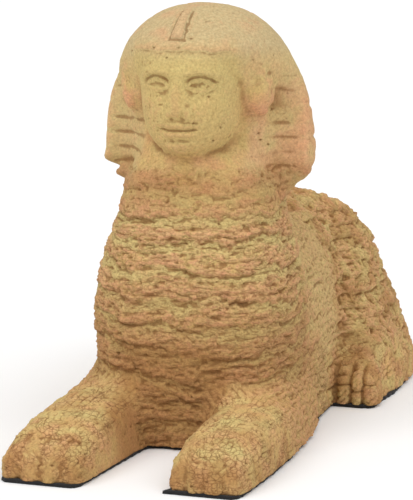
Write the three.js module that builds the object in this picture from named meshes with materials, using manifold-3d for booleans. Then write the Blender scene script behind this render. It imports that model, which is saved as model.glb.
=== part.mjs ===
// Recumbent sphinx figurine, cast in sand-coloured stone resin, on a black felt pad.
// Millimetres, +Z up. The sphinx faces -Y, and its own left side is +X.
import * as THREE from 'three';
import Module from 'manifold-3d';
import { mergeVertices } from 'three/addons/utils/BufferGeometryUtils.js';

const wasm = await Module();
wasm.setup();

// Driving dimensions
const STATUE_HEIGHT = 126; // crown of the headcloth above the cast underside
const FELT_THICKNESS = 1;
const FELT_INSET = 0.4; // how far the felt's edge lies inside the casting's
const FELT_TAB = 2.6; // length of the pointed offcut left at the inner toe of the left paw

// Every length below this line is a share of the height, in hundredths
const SHARE = STATUE_HEIGHT / 100;
const FELT_CORNER = 3.2;

// Body
const BACK_HEIGHT = 49.6;
const HIND_FRONT = 31;
const HIND_END = 82;
const FLANK_HALF_WIDTH = 25;
const CHEST_FRONT = 26;
const CHEST_BACK = 12;
const BED_THICKNESS = 2.7; // the weathered stone beds that ring the chest
const BED_DEPTH = 0.75;
const COURSE_THICKNESS = 3.9; // the coarser courses on the hindquarters
const COURSE_DEPTH = 0.8;

// Legs
const LEFT_LEG_INNER = 9.2;
const LEFT_LEG_OUTER = 26.1;
const RIGHT_LEG_INNER = 9.1;
const RIGHT_LEG_OUTER = 28.5;
const LEG_ROOT = 9;
const LEFT_LEG_BOW = 2; // how far the left foreleg's outer side swells between toes and elbow
const RIGHT_LEG_FLARE = 0.09; // how fast the right foreleg grows inwards from its toes to the chest
const TOE_OVERHANG = 2.6; // from the limb's blunt end to the front of its toes
const LEFT_PAW_REACH = 59.4;
const RIGHT_PAW_REACH = 61.8; // the right forepaw is the longer one
const HIND_PAW_FRONT = 23.8;
const HIND_PAW_INNER = 22.5;
const HIND_PAW_OUTER = 35.9;
const HIND_PAW_HEIGHT = 11.5;
const HAUNCH_HALF_WIDTH = 37.2; // at the ground
const TAIL_RADIUS = 2.3;
const TAIL_SIDE = 38.3; // from the middle to the tail's line along the right haunch
const TAIL_REACH = 44; // how far forward of the rump the tail's tuft lies
const SEAM = 0.1; // slivers finer than this are dropped where two forms meet
const GROUND_BLOCK = 300; // larger than the statue: cuts it off level at the ground

// Head
const CLOTH_HEM = 58;
const BAND_BOTTOM = 89.8; // the brow band, a flat strip under the crown
const BAND_WIDTH = 2.2;
const BAND_LIFT = 0.5;
const PLEAT_DEPTH = 0.55;
const PLEAT_PITCH = 3.6;
const HEAD_SHIFT = 0.4; // how far the wings sit towards the right side, and the crown towards the left
const FACE_CHIN = 66.5;
const FACE_TOP = 90.5;
const FACE_HALF_WIDTH = 12;
const FACE_FRONT = 22.6;
const EAR_HEIGHT = 80.6;
const EAR_SIDE = 15.8;
const COBRA_SIDE = 0.65; // how far the cobra's strip sits towards the right side

const { lerp, smoothstep } = THREE.MathUtils;
const { abs, cos, exp, max, min, PI, sign, sin } = Math;

// A smooth curve through [position, value] pairs, level beyond its two ends.
function through(...pairs) {
  const slope = (i) => {
    const [before, after] = [pairs[max(i - 1, 0)], pairs[min(i + 1, pairs.length - 1)]];
    return (after[1] - before[1]) / (after[0] - before[0]);
  };
  return (x) => {
    const next = pairs.findIndex(([position]) => position > x);
    if (next === 0) return pairs[0][1];
    if (next < 0) return pairs.at(-1)[1];
    const [[x0, y0], [x1, y1]] = [pairs[next - 1], pairs[next]];
    const [span, t] = [x1 - x0, (x - x0) / (x1 - x0)];
    const [t2, t3] = [t * t, t * t * t];
    return (
      (2 * t3 - 3 * t2 + 1) * y0 +
      (t3 - 2 * t2 + t) * span * slope(next - 1) +
      (3 * t2 - 2 * t3) * y1 +
      (t3 - t2) * span * slope(next)
    );
  };
}

// A repeatable uneven value from -1 to 1 for the nth bed, course or block.
const uneven = (n) => sin(n * 2.399 + 0.7) * cos(n * 1.171);

// A rounded hump of height 1 at 0, with the given half width.
const hump = (distance, halfWidth) => exp(-((distance / halfWidth) ** 2));

// A closed body through rings of equal length. Rings run anticlockwise seen from the last one.
function loft(rings) {
  const count = rings[0].length;
  const middle = (ring) =>
    ring.reduce((sum, p) => sum.add(p), new THREE.Vector3()).divideScalar(ring.length);
  const points = [...rings.flat(), middle(rings[0]), middle(rings.at(-1))];
  const index = [];
  for (let j = 0; j < count; j += 1) {
    const k = (j + 1) % count;
    for (let i = 0; i + 1 < rings.length; i += 1) {
      const [low, high] = [i * count, (i + 1) * count];
      index.push(low + j, low + k, high + k, low + j, high + k, high + j);
    }
    const top = (rings.length - 1) * count;
    index.push(rings.length * count, k, j, rings.length * count + 1, top + j, top + k);
  }
  const geometry = new THREE.BufferGeometry().setFromPoints(points);
  geometry.setIndex(index);
  return geometry;
}

// A geometry as a solid that can be joined and cut.
function solid(geometry) {
  const bare = geometry.clone();
  bare.deleteAttribute('normal');
  bare.deleteAttribute('uv');
  const merged = mergeVertices(bare, 1e-4);
  return new wasm.Manifold(
    new wasm.Mesh({
      numProp: 3,
      vertProperties: merged.attributes.position.array,
      triVerts: new Uint32Array(merged.index.array),
    }),
  );
}

// A solid back as a geometry to draw.
function geometryOf(body) {
  const { vertProperties, triVerts } = body.getMesh();
  const geometry = new THREE.BufferGeometry();
  geometry.setAttribute('position', new THREE.Float32BufferAttribute(vertProperties, 3));
  geometry.setIndex(Array.from(triVerts));
  geometry.computeVertexNormals();
  return geometry;
}

// One level ring: a squared-off ellipse that may differ in depth and squareness front and back.
function levelRing(z, { halfWidth, front, back, frontPower, backPower }, middle, count) {
  const round = (value, power) => sign(value) * abs(value) ** (2 / power);
  return Array.from({ length: count }, (_, j) => {
    const turn = ((j + 0.5) / count) * 2 * PI;
    const behind = sin(turn) > 0;
    const power = behind ? backPower : frontPower;
    const depth = behind ? back - middle : middle - front;
    return new THREE.Vector3(
      halfWidth * round(cos(turn), power),
      middle + depth * round(sin(turn), power),
      z,
    );
  });
}

// Heights for a weathered stack: each bed has a proud belly, and a notch worn in above it.
function bedLevels(low, high, thickness) {
  const levels = [];
  for (let n = 0, z = low; z < high - thickness / 2; n += 1) {
    const bed = min(thickness * (1 + 0.3 * uneven(n)), high - z);
    const wear = 0.65 + 0.35 * uneven(n + 40);
    levels.push({ z: z + 0.3 * bed, worn: 0 }, { z: z + 0.92 * bed, worn: wear });
    z += bed;
  }
  return levels;
}

// Wears a level ring inwards, more in some places than others, and lets the bed dip as it goes round.
function weather(ring, level, inset, dip) {
  return ring.map((point, j) => {
    const turn = (j / ring.length) * 2 * PI;
    const patch = max(0.75 + 1.1 * sin(3 * turn + 2.3 * level) * sin(2 * turn + 0.9 * level), 0);
    const away = new THREE.Vector3(point.x, point.y, 0).setLength(inset * patch);
    const lift = dip * sin(2 * turn + 0.35 * level);
    return point.clone().sub(away).setZ(point.z + lift);
  });
}

// The chest and neck, ringed by worn beds of stone
function chest() {
  const halfWidth = through([0, 22.6], [17, 23.5], [31, 24.4], [38, 23.2], [47, 20.6], [52, 19], [56, 18.4],
    [61, 17.5], [65, 14.4], [69, 10]);
  const front = through([0, -CHEST_FRONT], [12, -26.3], [26, -26.5], [38, -24.5], [48, -21.8], [58, -19],
    [64, -16.6], [69, -12]);
  const levels = [
    { z: 0, worn: 0 },
    { z: 8, worn: 0 },
    ...bedLevels(14, 58, BED_THICKNESS),
    ...[61, 64, 67, 69].map((z) => ({ z, worn: 0 })),
  ];
  const rings = levels.map(({ z, worn }, level) => {
    const section = {
      halfWidth: halfWidth(z),
      front: front(z),
      back: CHEST_BACK,
      frontPower: 2.5,
      backPower: 3.6,
    };
    const ring = levelRing(z, section, -6, 44);
    return weather(ring, level, worn * BED_DEPTH * smoothstep(z, 12, 20), 0.45 * smoothstep(z, 10, 20));
  });
  return loft(rings);
}

// The back and flanks between the shoulders and the haunches: arched sections from front to back
function barrel() {
  const stations = [70, 60, 50, 40, 30, 20, 10, 2, -6];
  const top = through([-6, 46], [4, 50], [14, 49.5], [30, 48.5], [50, BACK_HEIGHT], [70, 38]);
  const halfWidth = through([-6, 24], [8, FLANK_HALF_WIDTH], [30, FLANK_HALF_WIDTH], [70, 22]);
  const rings = stations.map((y) =>
    Array.from({ length: 24 }, (_, j) => {
      const turn = (j / 24) * 2 * PI;
      const [across, up] = [cos(turn), sin(turn)];
      const bulge = halfWidth(y) * sign(across) * abs(across) ** 0.72;
      const rise = up > 0 ? top(y) * up ** 0.62 : 0;
      return new THREE.Vector3(up < 0 ? halfWidth(y) * across : bulge, y, rise);
    }),
  );
  return loft(rings);
}

// Rump and thighs, laid in courses
function hindquarters() {
  const halfWidth = through(
    [0, HAUNCH_HALF_WIDTH], [5, 38.2], [12, 35.9], [19, 32.5], [24, 30.5], [28, 29.3], [33, 28.1], [38, 26],
    [43, 21.9], [47, 15.8], [BACK_HEIGHT, 7],
  );
  const front = through([0, HIND_FRONT], [16, HIND_FRONT + 1], [30, HIND_FRONT + 3], [42, HIND_FRONT + 9],
    [BACK_HEIGHT, HIND_FRONT + 16]);
  const back = through([0, HIND_END - 1], [8, HIND_END], [20, HIND_END - 1.5], [32, HIND_END - 6],
    [42, HIND_END - 14], [BACK_HEIGHT, HIND_END - 26]);
  const levels = [{ z: 0, worn: 0 }, { z: 5, worn: 0 }, ...bedLevels(9, BACK_HEIGHT - 3, COURSE_THICKNESS),
    { z: BACK_HEIGHT - 1.5, worn: 0.4 }, { z: BACK_HEIGHT, worn: 2 }];
  const middle = (HIND_FRONT + HIND_END) / 2;
  const rings = levels.map(({ z, worn }) => {
    const inset = worn * COURSE_DEPTH;
    const power = lerp(4.4, 2.3, smoothstep(z, 4, 44));
    const section = {
      halfWidth: halfWidth(z) - inset,
      front: front(z) + inset,
      back: back(z) - inset,
      frontPower: power,
      backPower: power * 0.8,
    };
    return levelRing(z, section, middle, 36);
  });
  return loft(rings);
}

// A limb that lies along the ground: square-shouldered sections from its root to its blunt front.
// It reaches across from low to high. The flare widens its high side towards the root, and the bow
// widens that side halfway.
function lyingLimb({ low, high, root, tip, height, stations, flare = 0, bow = 0 }) {
  const rings = stations.map((share) => {
    const y = lerp(root, tip, share);
    const nose = smoothstep(share, 0.9, 1) ** 2;
    const elbow = 1 - smoothstep(share, 0, 0.12);
    const wide = high + flare * (y - tip) + bow * sin(PI * share);
    const width = ((wide - low) / 2) * (1 - 0.1 * nose - 0.16 * elbow);
    const middle = (low + wide) / 2;
    return Array.from({ length: 18 }, (_, j) => {
      const turn = ((j + 0.5) / 18) * 2 * PI;
      const [across, up] = [cos(turn), sin(turn)];
      const x = middle + width * sign(across) * abs(across) ** (up > 0 ? 0.6 : 0.2);
      return new THREE.Vector3(x, y, up > 0 ? height(-y) * (1 - 0.35 * elbow) * up ** 0.55 : 0);
    });
  });
  return loft(rings);
}

// Four toes in a row across the front of a paw, blunt in front
function toes({ low, high, front, length, height }) {
  const count = 4;
  const pitch = (high - low) / count;
  const blunt = (value, power) => sign(value) * abs(value) ** power;
  return Array.from({ length: count }, (_, n) => {
    const toe = new THREE.SphereGeometry(1, 12, 8);
    const points = toe.attributes.position;
    for (let i = 0; i < points.count; i += 1) {
      points.setXYZ(i, points.getX(i), blunt(points.getY(i), 0.6), blunt(points.getZ(i), 0.7));
    }
    toe.scale(pitch * 0.57, length, height * (1 + 0.06 * uneven(n)));
    const back = abs(n - (count - 1) / 2) > 1 ? 0.9 : 0; // the outer toes sit further back
    toe.translate(low + pitch * (n + 0.5), front + length + back, height * 0.12);
    return toe;
  });
}

// A foreleg and its paw on one side (1 is the sphinx's left)
function foreleg(side, reach) {
  // The right foreleg is the thicker one too, and its top ends in a small step above the toes
  const height = side > 0
    ? through([-LEG_ROOT, 15], [4, 14], [20, 12.8], [36, 11.6], [reach - 12, 10.4], [reach - 5, 8.4], [reach - 2, 6.8])
    : through([-LEG_ROOT, 15.7], [4, 14.7], [20, 13.5], [36, 12.1], [reach - 12, 10.6], [reach - 7.2, 9.3],
      [reach - 6.2, 7.9], [reach - 2, 6]);
  const [low, high] = side > 0 ? [LEFT_LEG_INNER, LEFT_LEG_OUTER] : [-RIGHT_LEG_OUTER, -RIGHT_LEG_INNER];
  const limb = lyingLimb({
    low,
    high,
    root: LEG_ROOT,
    tip: -(reach - TOE_OVERHANG),
    height,
    stations: [0, 0.05, 0.12, 0.28, 0.44, 0.6, 0.72, 0.82, 0.88, 0.93, 0.945, 0.97, 1],
    flare: side > 0 ? 0 : RIGHT_LEG_FLARE,
    bow: side > 0 ? LEFT_LEG_BOW : 0,
  });
  return [limb, ...toes({ low, high, front: -reach, length: 7.5, height: 5.8 })];
}

// The shoulder and elbow, where the foreleg runs up into the chest
function shoulder(side) {
  const mass = new THREE.SphereGeometry(1, 16, 12);
  mass.scale(6.6, 14, 24);
  mass.rotateX(-0.22);
  mass.translate(side * 18.2, -4, 13);
  return mass;
}

// The foot of a hind leg, tucked against the thigh
function hindPaw(side) {
  const [low, high] = side > 0 ? [HIND_PAW_INNER, HIND_PAW_OUTER] : [-HIND_PAW_OUTER, -HIND_PAW_INNER];
  const height = through([-(HIND_FRONT + 12), HIND_PAW_HEIGHT + 2], [-HIND_FRONT, HIND_PAW_HEIGHT],
    [-HIND_PAW_FRONT - 2, 8], [-HIND_PAW_FRONT, 6.5]);
  const limb = lyingLimb({
    low,
    high,
    root: HIND_FRONT + 12,
    tip: HIND_PAW_FRONT + 1,
    height,
    stations: [0, 0.12, 0.3, 0.6, 0.8, 0.92, 1],
  });
  return [limb, ...toes({ low, high, front: HIND_PAW_FRONT, length: 3.6, height: 7.4 })];
}

// The tail, brought round the right haunch and laid along the ground
function tail() {
  const line = new THREE.CatmullRomCurve3([
    new THREE.Vector3(-4, HIND_END - 4, 9),
    new THREE.Vector3(-16, HIND_END + 0.4, 5),
    new THREE.Vector3(-30, HIND_END - 6, 2.4),
    new THREE.Vector3(-TAIL_SIDE + 0.6, HIND_END - 20, 2.2),
    new THREE.Vector3(-TAIL_SIDE + 0.3, HIND_END - TAIL_REACH + 8, 2.4),
  ]);
  const section = new THREE.Shape().absarc(0, 0, TAIL_RADIUS, 0, 2 * PI);
  const rope = new THREE.ExtrudeGeometry(section, { steps: 14, curveSegments: 4, extrudePath: line });
  const tuft = new THREE.SphereGeometry(TAIL_RADIUS * 1.3, 10, 8);
  tuft.scale(1, 2.1, 1);
  tuft.translate(-TAIL_SIDE + 0.7, HIND_END - TAIL_REACH + 6, 2.4);
  return [rope, tuft];
}

// The headcloth: crown, pleated wings that flare behind the ears, and the fall on the nape
function headcloth() {
  const halfWidth = through(
    [CLOTH_HEM - 5, 17.5], [CLOTH_HEM - 1, 20.5], [CLOTH_HEM + 2, 24.4], [CLOTH_HEM + 7, 25.8], [70, 25.4],
    [76, 24.4], [82, 22.9], [87, 20.6], [91, 18.1], [94, 15.7], [96.5, 12.7], [98.4, 9.2], [99.6, 5], [100, 2],
  );
  const front = through([CLOTH_HEM - 5, -9], [CLOTH_HEM + 6, -13], [76, -17], [86, -20], [89, -21.6],
    [92, -20.4], [95, -17.4], [98, -12.4], [99.6, -8], [100, -5.5]);
  const back = through([CLOTH_HEM - 5, 10], [CLOTH_HEM, 13.5], [66, 15.8], [78, 15.5], [88, 12.8], [94, 9], [98, 4.2],
    [99.6, 0], [100, -2.5]);
  const middle = through([CLOTH_HEM, 1], [80, 1.4], [90, -0.4], [100, -1.6]);
  const wing = (z) => 1 - smoothstep(z, 76, 93); // 1 where the cloth stands out as wings
  const pleats = [];
  for (let z = CLOTH_HEM + 1; z < BAND_BOTTOM - PLEAT_PITCH; z += PLEAT_PITCH) {
    const worn = lerp(1, 0.5, smoothstep(z, 74, 84)); // the upper folds are fainter
    pleats.push(
      { z, fold: 0 },
      { z: z + PLEAT_PITCH * 0.5, fold: 0.1 * worn },
      { z: z + PLEAT_PITCH * 0.8, fold: worn },
    );
  }
  const crown = Array.from({ length: 6 }, (_, i) => ({ z: 100 - 7 * (1 - i / 5) ** 1.6, fold: 0 }));
  const bandTop = BAND_BOTTOM + BAND_WIDTH;
  const levels = [
    { z: CLOTH_HEM - 5, fold: 0 },
    { z: CLOTH_HEM - 1, fold: 0 },
    ...pleats,
    { z: BAND_BOTTOM - 0.2, fold: 0 },
    { z: BAND_BOTTOM, fold: 0, band: 1 },
    { z: bandTop, fold: 0, band: 1 },
    { z: bandTop + 0.2, fold: 0 },
    ...crown,
  ];
  const rings = levels.map(({ z, fold, band = 0 }) => {
    const section = {
      halfWidth: halfWidth(z),
      front: front(z) - band * BAND_LIFT,
      back: back(z),
      frontPower: lerp(2.2, 1.1, wing(z)),
      backPower: lerp(2.1, 2.6, wing(z)),
    };
    const shift = HEAD_SHIFT * (1 - 1.7 * smoothstep(z, 84, 91));
    // The folds are deep in the hollow of the wings, and shallow round their edge and behind.
    return levelRing(z, section, middle(z), 40).map((point) => {
      const depth = fold * PLEAT_DEPTH * lerp(0.2, 1, smoothstep(middle(z) - point.y, 1, 5));
      const inward = new THREE.Vector3(point.x, point.y, 0).setLength(depth);
      point.x -= shift;
      return point.sub(inward);
    });
  });
  return loft(rings);
}

// A calm, even face in relief. Across runs from -1 to 1 between the cheeks' edges, and up from 0 at
// the chin to 1 at the brow band. Returns how far the surface stands out, in hundredths of the height.
function faceRelief(across, up) {
  const aside = abs(across);
  const eye = 0.655;
  const socket = -1.25 * hump(aside - 0.42, 0.26) * hump(up - eye, 0.08);
  const ball = 0.95 * hump(aside - 0.42, 0.18) * hump(up - (eye - 0.005), 0.045);
  const brow = 0.5 * hump(aside - 0.42, 0.34) * hump(up - (eye + 0.12), 0.045);
  const bridge = 1.5 * hump(across, 0.14) * smoothstep(up, 0.36, 0.44) * (1 - smoothstep(up, 0.62, 0.8));
  const nostrils = 0.9 * hump(across, 0.24) * hump(up - 0.385, 0.045);
  const cheek = 0.6 * hump(aside - 0.5, 0.3) * hump(up - 0.42, 0.14);
  const lips = hump(across, 0.34) * (0.75 * hump(up - 0.272, 0.035) + 0.8 * hump(up - 0.205, 0.035));
  const mouthCorner = -0.4 * hump(aside - 0.4, 0.08) * hump(up - 0.24, 0.045);
  const chin = 1.1 * hump(across, 0.32) * hump(up - 0.06, 0.08);
  const chinCrease = -0.35 * hump(across, 0.3) * hump(up - 0.14, 0.03);
  return socket + ball + brow + bridge + nostrils + cheek + lips + mouthCorner + chin + chinCrease;
}

function face() {
  const outline = through([0, 0.5], [0.08, 0.72], [0.22, 0.9], [0.45, 1], [0.7, 1.02], [1, 0.98]);
  const forward = through([0, 0.84], [0.1, 0.93], [0.3, 0.97], [0.6, 0.98], [0.8, 1], [1, 0.95]);
  const [columns, rows] = [26, 24];
  const backPlane = -2;
  const rings = Array.from({ length: rows + 1 }, (_, i) => {
    const up = i / rows;
    const z = lerp(FACE_CHIN, FACE_TOP, up);
    const halfWidth = FACE_HALF_WIDTH * outline(up);
    const frontRow = Array.from({ length: columns + 1 }, (_, j) => {
      const across = lerp(-1, 1, j / columns);
      const roll = (1 - min(across ** 2, 1) ** 1.3) ** 0.5;
      const y = -lerp(9, FACE_FRONT * forward(up), roll) - faceRelief(across, up) * smoothstep(roll, 0, 0.5);
      return new THREE.Vector3(halfWidth * across, y, z);
    });
    return [...frontRow, new THREE.Vector3(halfWidth, backPlane, z), new THREE.Vector3(-halfWidth, backPlane, z)];
  });
  return loft(rings);
}

// An ear, pressed forward by the cloth behind it
function ear(side) {
  const shell = new THREE.SphereGeometry(1, 14, 10);
  shell.scale(3.7, 2, 6.2);
  shell.rotateZ(side * 0.75);
  shell.rotateY(side * 0.12);
  shell.translate(side * EAR_SIDE, -8, EAR_HEIGHT);
  return shell;
}

// What is left of the rearing cobra: a low strip up the middle of the crown, broken off at the brow
function cobraStub() {
  const rings = [
    [-10.4, 98.7], [-14.2, 97.2], [-17.9, 95], [-20, 93.2],
  ].map(([y, z], i) => {
    const halfWidth = lerp(1.1, 1.4, i / 3);
    const normal = new THREE.Vector3(0, y + 4, (z - 82) * 1.1).normalize();
    const at = (x, lift) => new THREE.Vector3(x - COBRA_SIDE, y, z).addScaledVector(normal, lift);
    return [at(-halfWidth, -2), at(halfWidth, -2), at(halfWidth * 0.8, 0.9), at(-halfWidth * 0.8, 0.9)];
  });
  return loft(rings);
}

// The casting, all one body, scaled from shares to millimetres and stood on the felt
function casting() {
  const forms = [
    chest(),
    barrel(),
    hindquarters(),
    ...foreleg(1, LEFT_PAW_REACH),
    ...foreleg(-1, RIGHT_PAW_REACH),
    shoulder(1),
    shoulder(-1),
    ...hindPaw(1),
    ...hindPaw(-1),
    ...tail(),
    headcloth(),
    face(),
    ear(1),
    ear(-1),
    cobraStub(),
  ];
  const whole = forms.map(solid).reduce((sum, form) => sum.add(form));
  const ground = new THREE.BoxGeometry(GROUND_BLOCK, GROUND_BLOCK, GROUND_BLOCK);
  ground.translate(0, 0, -GROUND_BLOCK / 2);
  const geometry = geometryOf(whole.subtract(solid(ground)).asOriginal().simplify(SEAM));
  geometry.scale(SHARE, SHARE, SHARE);
  geometry.translate(0, 0, FELT_THICKNESS);
  return geometry;
}

// The felt follows the casting's footprint, a little inside it: round both forepaws, the bay between
// them, and the body
function felt() {
  const edge = -FELT_INSET / SHARE;
  const [innerLeft, innerRight] = [LEFT_LEG_INNER - edge, RIGHT_LEG_INNER - edge];
  const [outerLeft, outerRight] = [LEFT_LEG_OUTER + edge, RIGHT_LEG_OUTER + edge];
  const [left, right] = [LEFT_PAW_REACH + edge, RIGHT_PAW_REACH + edge];
  const [waist, hip, haunch] = [FLANK_HALF_WIDTH, HIND_PAW_OUTER, HAUNCH_HALF_WIDTH].map((x) => x + edge);
  const [bay, rear, hock] = [CHEST_FRONT + edge, HIND_END + edge, HIND_PAW_FRONT - edge];
  const tailSide = TAIL_SIDE + TAIL_RADIUS + edge;
  const tailEnd = HIND_END - TAIL_REACH - edge;
  const tab = FELT_TAB / SHARE;
  const r = FELT_CORNER;
  const shape = new THREE.Shape();
  // The left foreleg, with the offcut at its inner toe
  shape.moveTo(innerLeft, -bay);
  shape.lineTo(innerLeft, -left + tab);
  shape.lineTo(innerLeft - tab / 2, -left);
  shape.lineTo(innerLeft + tab / 2, -left);
  shape.lineTo(outerLeft - r, -left);
  shape.quadraticCurveTo(outerLeft, -left, outerLeft, -left + r);
  shape.quadraticCurveTo(outerLeft + 2 * LEFT_LEG_BOW, (LEG_ROOT - left) / 2, outerLeft, LEG_ROOT - r);
  shape.quadraticCurveTo(outerLeft, LEG_ROOT, waist, LEG_ROOT + r);
  // The left hind paw and haunch, and the rump
  shape.lineTo(waist, hock);
  shape.lineTo(hip - r, hock);
  shape.quadraticCurveTo(hip, hock, hip, hock + r);
  shape.lineTo(hip, HIND_FRONT);
  shape.lineTo(haunch, HIND_FRONT + 9);
  shape.lineTo(haunch, (HIND_FRONT + HIND_END) / 2);
  shape.bezierCurveTo(haunch, HIND_END - 4, haunch - 12, rear, 0, rear);
  // The tail, the right haunch and the right hind paw
  shape.bezierCurveTo(-hip + 8, rear + TAIL_RADIUS, -tailSide, HIND_END - 4, -tailSide, HIND_END - 24);
  shape.lineTo(-tailSide, tailEnd + r);
  shape.quadraticCurveTo(-tailSide, tailEnd, -hip, tailEnd);
  shape.lineTo(-hip, hock + r);
  shape.quadraticCurveTo(-hip, hock, -hip + r, hock);
  shape.lineTo(-waist, hock);
  shape.lineTo(-waist, LEG_ROOT + r);
  // The right foreleg
  shape.quadraticCurveTo(-outerRight, LEG_ROOT, -outerRight, LEG_ROOT - r);
  shape.lineTo(-outerRight, -right + r);
  shape.quadraticCurveTo(-outerRight, -right, -outerRight + r, -right);
  shape.lineTo(-innerRight - r, -right);
  const bayCorner = RIGHT_LEG_FLARE * (RIGHT_PAW_REACH - bay) - innerRight;
  shape.quadraticCurveTo(-innerRight, -right, -innerRight, -right + r);
  shape.lineTo(bayCorner, -bay - r);
  shape.quadraticCurveTo(bayCorner, -bay, bayCorner + r, -bay);
  const geometry = new THREE.ExtrudeGeometry(shape, { depth: 1, bevelEnabled: false, curveSegments: 6 });
  geometry.scale(SHARE, SHARE, FELT_THICKNESS);
  return geometry;
}

const figurine = new THREE.Group();

const stone = new THREE.MeshStandardMaterial({ color: 0xc6a26a, roughness: 0.92, metalness: 0 });
const sphinx = new THREE.Mesh(casting(), stone);
sphinx.name = 'sphinx';
figurine.add(sphinx);

const blackFelt = new THREE.MeshStandardMaterial({ color: 0x1c1a1a, roughness: 1, metalness: 0 });
const pad = new THREE.Mesh(felt(), blackFelt);
pad.name = 'felt_pad';
figurine.add(pad);

// The origin is under the middle of the figurine
const footprint = new THREE.Box3().setFromObject(figurine);
const centre = footprint.getCenter(new THREE.Vector3());
figurine.position.set(-centre.x, -centre.y, 0);

export default figurine;
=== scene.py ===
"""A small weathered sphinx, cast in sand-coloured stone resin, on a black felt pad."""

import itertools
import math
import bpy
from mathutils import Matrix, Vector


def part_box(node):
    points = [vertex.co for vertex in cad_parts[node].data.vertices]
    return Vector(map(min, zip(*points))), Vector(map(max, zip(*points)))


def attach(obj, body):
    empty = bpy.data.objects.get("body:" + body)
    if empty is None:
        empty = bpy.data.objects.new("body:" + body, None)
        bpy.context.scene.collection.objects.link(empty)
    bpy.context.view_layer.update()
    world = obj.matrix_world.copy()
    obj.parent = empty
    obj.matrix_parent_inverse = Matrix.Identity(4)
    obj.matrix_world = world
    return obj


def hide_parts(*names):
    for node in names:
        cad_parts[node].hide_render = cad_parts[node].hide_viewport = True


bl_info = {
    "name": "Weathered sphinx statue",
    "version": (1, 0, 0),
    "blender": (4, 5, 0),
    "location": "View3D > Sidebar > Sphinx",
    "description": "Builds a small cast stone sphinx with its felt pad, and a plain studio",
    "category": "Object",
}

from types import SimpleNamespace

import bmesh
import bpy
import numpy as np
from mathutils import Vector

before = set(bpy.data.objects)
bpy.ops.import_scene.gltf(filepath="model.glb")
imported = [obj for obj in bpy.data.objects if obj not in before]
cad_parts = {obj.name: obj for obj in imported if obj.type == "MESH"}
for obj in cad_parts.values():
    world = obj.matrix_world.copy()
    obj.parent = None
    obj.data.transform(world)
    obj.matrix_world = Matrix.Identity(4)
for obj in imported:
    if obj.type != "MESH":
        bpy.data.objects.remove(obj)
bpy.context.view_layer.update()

MM = 0.001

# The statue's own measures, in hundredths of its height, as the solids have them.
CAST_LOW, CAST_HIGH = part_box("sphinx")
SHARE = (CAST_HIGH[2] - CAST_LOW[2]) / 100
TAIL_SIDE = 40.59
PAW_REACH = 61.8
MIDDLE = np.array(
    [CAST_LOW[0] + TAIL_SIDE * SHARE, CAST_LOW[1] + PAW_REACH * SHARE, CAST_LOW[2]]
)

CLOTH_HEM = 58
PLEAT_PITCH = 3.6
PLEAT_FOOT = 61.9
BAND_BOTTOM = 89.8
FACE_CHIN = 66.5
FACE_TOP = 90.5
FACE_HALF_WIDTH = 12
EAR_HEIGHT = 80.6
EAR_SIDE = 15.5
BED = 5.9
THIN_BED = 2.4
COURSE = 3.2
TOP_COURSE = 14
LEFT_PAW = (9.2, 26.1)
RIGHT_PAW = (-28.5, -9.1)
HIND_PAW = (22.5, 35.9)
LEG_TOP = 14
COBRA_SIDE = 0.65
NECK = (48, 59)
CROWN = (91, 94)
PAW_LEDGE = (6.9, 7.8)
WING_NOTCH = 60.7

# The masks that the casting's mesh holds for its material, in the order that it reads them in.
MASKS = ("hollow", "sheltered", "pits", "smooth_skin_and_painted_light", "torn", "stains_and_shade", "bedded", "blocks", "dusty")

# Areas with pits: how many, their seed, the area's two corners, and the pits' size.
PIT_AREAS = (
    (90, 1, (-26, -32, 14), (26, 6, 62), 0.5),
    (160, 2, (18, 18, 8), (40, 70, 50), 0.6),
    (60, 5, (-40, 18, 8), (-18, 70, 50), 0.6),
    (90, 3, (-30, -64, 1), (30, -26, 15), 0.35),
    (20, 4, (-26, -24, 60), (26, -4, 96), 0.3),
)
# Single chips: their middle, their radius, and for those on a wing's edge how far they stand out.
HOLES = (((12.9, -13.2, 63.2), 0.55), ((-10.2, -59.4, 1.6), 0.6))
WING_LUMPS = (((-24.8, 0, 63), 1.4, 1.0), ((-23, 0, 58.8), 1.2, 0.8))

# The meshes, in metres but for the count: how far the form runs on below the ground, the squares
# that the form and the felt are first rebuilt in, the felt's triangles, and the size of its clumps.
SKIRT = 0.003
COARSE_SQUARE = 0.001
FELT_SQUARE = 0.0005
FELT_TRIANGLES = 40000
FIBRE_CLUMP = 0.0011

# How far the material's cracks wander, in metres.
BEND = 0.0012

# What the camera looks at, and the width of its sensor in millimetres.
AIM = Vector((-0.00189, -0.0045, 0.0513))
SENSOR_WIDTH = 36

random_state = np.random.default_rng(11)
SHUFFLE = random_state.permutation(256)
SLOPES = random_state.normal(size=(256, 3))
SLOPES /= np.linalg.norm(SLOPES, axis=1, keepdims=True)


# Small shaping functions on arrays


def smoothstep(value, low, high):
    """0 below low, 1 above high, and an eased ramp between them."""
    t = np.clip((value - low) / (high - low), 0, 1)
    return t * t * (3 - 2 * t)


def hump(distance, half_width):
    """A rounded hump, 1 high at distance 0."""
    return np.exp(-((distance / half_width) ** 2))


def noise(points, seed=0):
    """Smooth noise in space, from about -1 to 1, with lumps about one unit across."""
    base = np.floor(points).astype(int)
    part = points - base
    total = np.zeros(len(points))
    for step in itertools.product((0, 1), repeat=3):
        cell = (base + np.array(step) + seed * 37) & 255
        pick = SHUFFLE[cell[:, 0]]
        pick = SHUFFLE[(pick + cell[:, 1]) & 255]
        pick = SHUFFLE[(pick + cell[:, 2]) & 255]
        away = part - step
        reach = 1 - np.abs(away)
        weight = np.prod(reach**3 * (reach * (reach * 6 - 15) + 10), axis=1)
        total += weight * np.einsum("ij,ij->i", SLOPES[pick], away)
    return total * 1.7


def layered_noise(points, octaves, seed=0):
    """Noise with finer and fainter noise on top of it."""
    total = np.zeros(len(points))
    for n in range(octaves):
        total += noise(points * 2.03**n + 5.3 * n, seed + n) / 2**n
    return total / 1.5


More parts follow.
